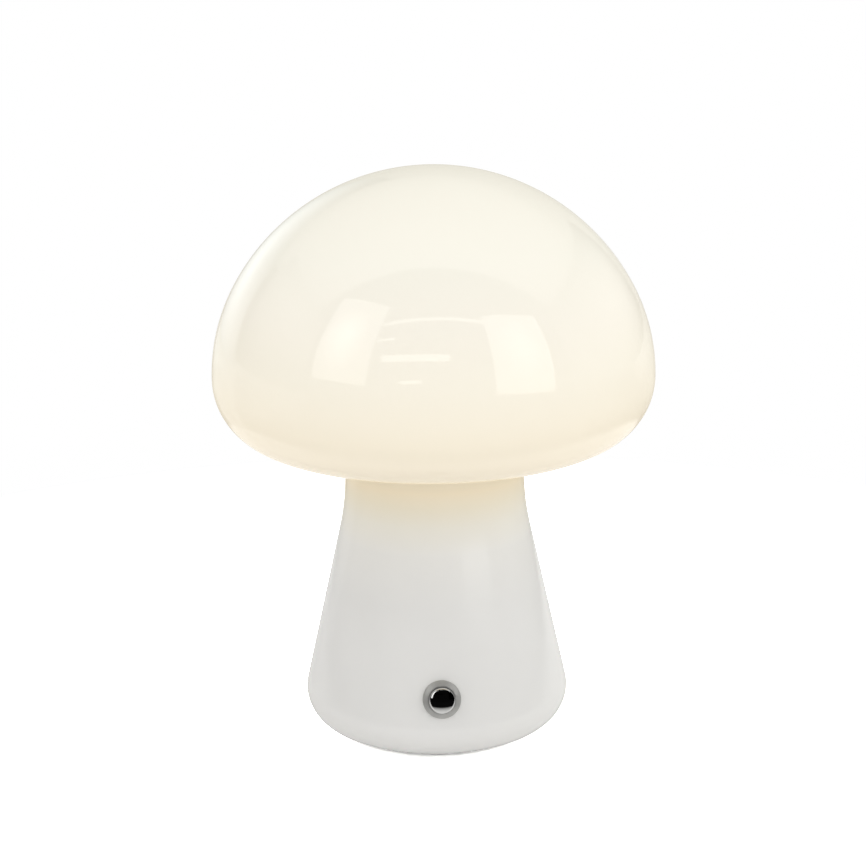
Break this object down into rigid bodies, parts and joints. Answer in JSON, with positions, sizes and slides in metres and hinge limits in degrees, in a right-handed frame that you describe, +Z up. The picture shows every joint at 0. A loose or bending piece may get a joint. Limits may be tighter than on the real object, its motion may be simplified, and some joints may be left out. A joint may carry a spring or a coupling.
{
  "type": "mushroom table lamp",
  "caption": "Small cordless table lamp: one opal glass in the shape of a mushroom, with a domed cap on a flared stem, and a chrome push button low on the front.",
  "frame": {"origin": "on the table under the lamp's axis, at the bottoms of the foot pads", "axes": "+Z up along the axis of the lamp; -Y to the front, where the push button is; +X to the right of the picture"},
  "size_m": [0.18, 0.18, 0.2355],
  "materials": {
    "opal_glass": "glossy blown opal glass, lit warm white from inside",
    "white_plastic": "moulded",
    "silicone": "soft translucent white",
    "rubber_pad": "soft, matte",
    "spring_steel": "bright drawn",
    "screw_steel": "zinc plated",
    "cell_wrap": "printed film sleeve, plain",
    "nickel_plate": "nickel plated",
    "board_green": "solder mask",
    "board_white": "white solder mask on aluminium",
    "chip_black": "moulded",
    "ferrite": "sintered",
    "capacitor_can": "drawn can",
    "connector_white": "moulded",
    "aluminium": "turned",
    "led_yellow": "phosphor",
    "frosted_plastic": "frosted",
    "satin_steel": "satin",
    "button_chrome": "polished",
    "wire_insulation": "extruded"
  },
  "bodies": {
    "lamp": {"glass_body": "opal_glass", "base_chassis": "white_plastic", "seal_ring": "silicone", "foot_pads": "rubber_pad", "retaining_clips": "spring_steel", "clip_screws": "screw_steel", "battery_cell_1": "cell_wrap", "battery_cell_2": "cell_wrap", "battery_cell_3": "cell_wrap", "battery_springs": "spring_steel", "contact_negative": "nickel_plate", "contact_positive": "nickel_plate", "contact_bridges": "nickel_plate", "control_board": "board_green", "board_screws": "screw_steel", "driver_chip": "chip_black", "inductor": "ferrite", "capacitors": "capacitor_can", "led_connector": "connector_white", "switch_connector": "connector_white", "chassis_cover": "white_plastic", "cover_screws": "screw_steel", "led_post": "white_plastic", "post_screws": "screw_steel", "heat_sink": "aluminium", "led_board": "board_white", "led_chips": "led_yellow", "led_board_screws": "screw_steel", "led_diffuser": "frosted_plastic", "switch_gasket": "silicone", "switch_washer": "silicone", "switch_collar": "satin_steel", "switch_nut": "nickel_plate", "switch_spring": "spring_steel", "contact_block": "chip_black", "switch_terminals": "nickel_plate", "led_leads": "wire_insulation", "battery_leads": "wire_insulation", "switch_leads": "wire_insulation"},
    "button": {"push_button": "button_chrome", "button_circlip": "spring_steel"},
    "door": {"battery_door": "white_plastic", "door_screws": "screw_steel"}
  },
  "joints": [
    {"name": "button_press", "type": "slide", "parent": "lamp", "child": "button", "axis": [0, 0.9754, -0.2203], "range_m": [0, 0.0015], "stiffness_N_per_m": 500, "springref_m": -0.003, "deforming": ["switch_spring"]},
    {"name": "door_removal", "type": "slide", "parent": "lamp", "child": "door", "axis": [0, 0, -1], "range_m": [0, 0.012]}
  ]
}
